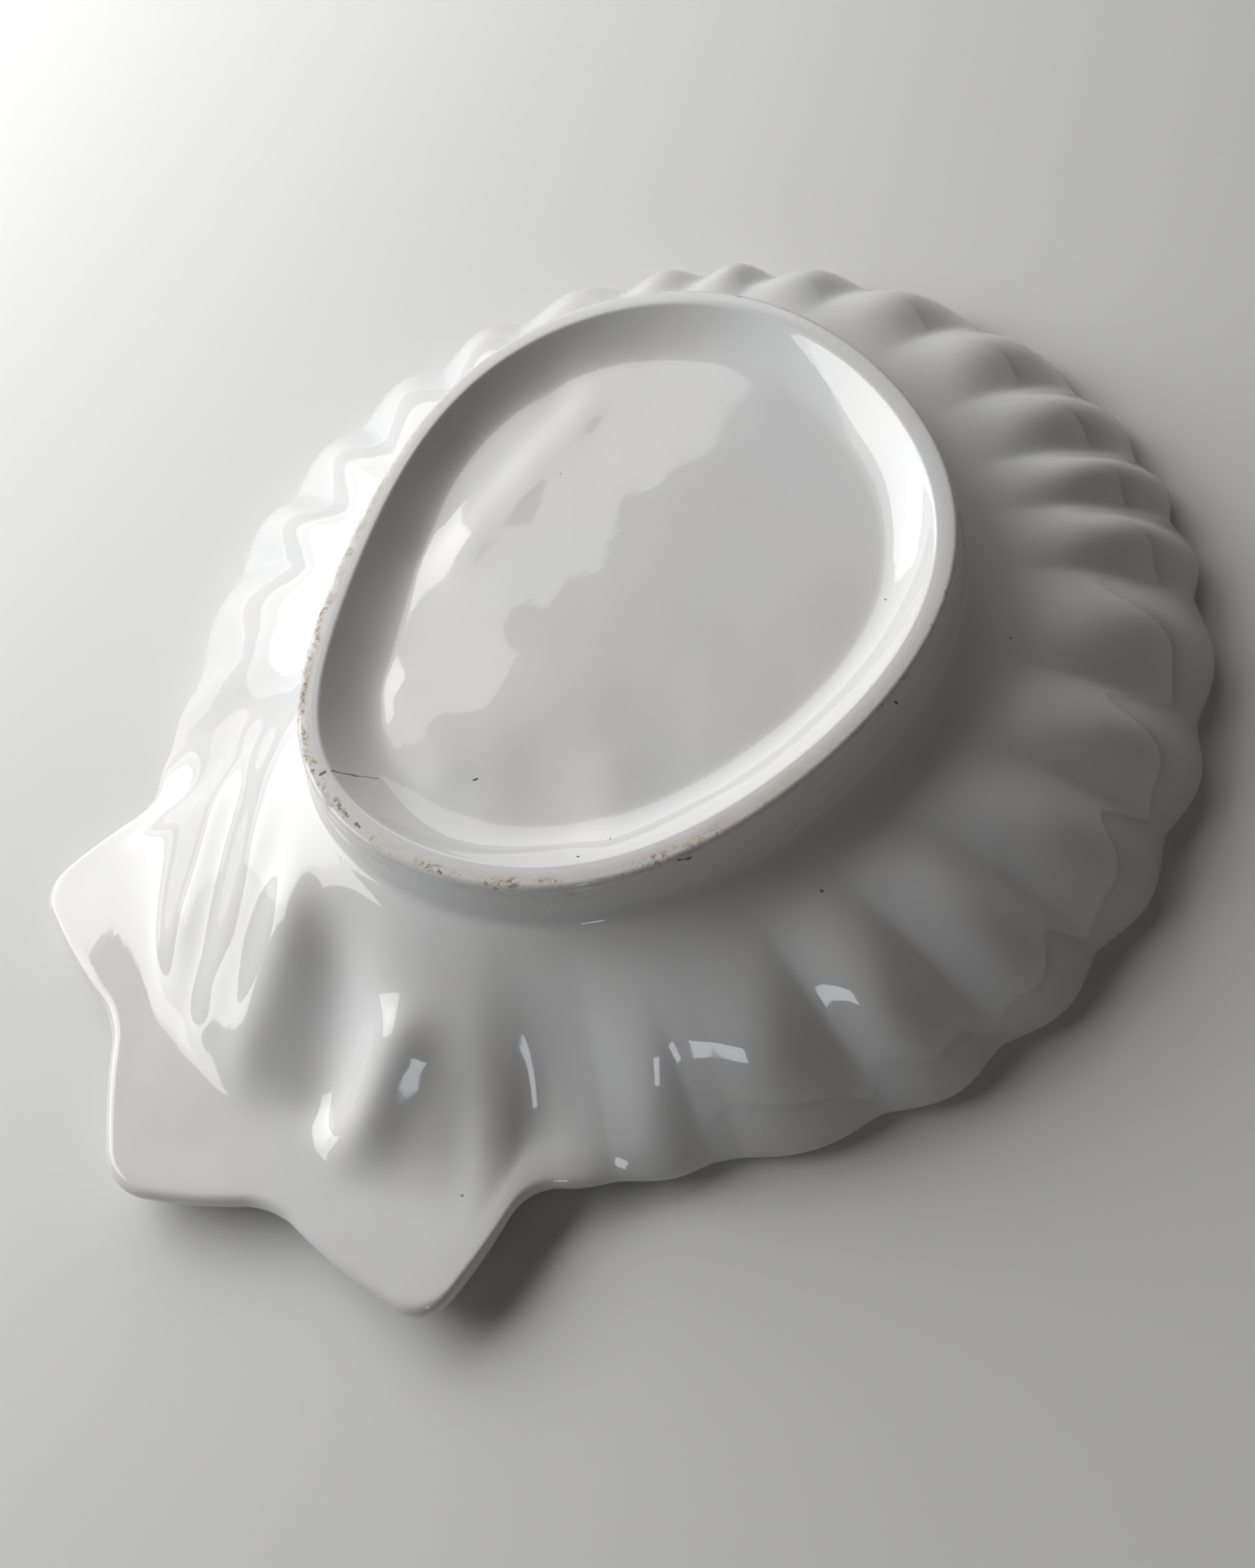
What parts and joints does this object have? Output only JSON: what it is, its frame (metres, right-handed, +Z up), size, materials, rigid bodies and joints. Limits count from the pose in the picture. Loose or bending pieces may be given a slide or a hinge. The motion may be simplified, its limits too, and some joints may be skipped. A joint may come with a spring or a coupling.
{
  "type": "scallop-shell serving dish",
  "caption": "White glazed ceramic scallop-shell serving dish, fluted wall, three-pointed hinge and egg-shaped foot ring, lying on its rim.",
  "frame": {"origin": "middle of the bounding box's base, on the table that the rim lies on; the dish is upside down, as in the picture", "axes": "+Z up, from the rim to the foot ring's crest, so the food side faces -Z; +Y from the hinge to the middle of the fan; X across the shell, whose outline mirrors about X = 0 while its foot ring sits about 15 degrees askew"},
  "size_m": [0.288, 0.351, 0.056],
  "materials": {
    "glaze": "glossy white tin glaze, bare and worn along the crest of the foot ring"
  },
  "bodies": {
    "root": {"dish": "glaze"}
  },
  "joints": []
}
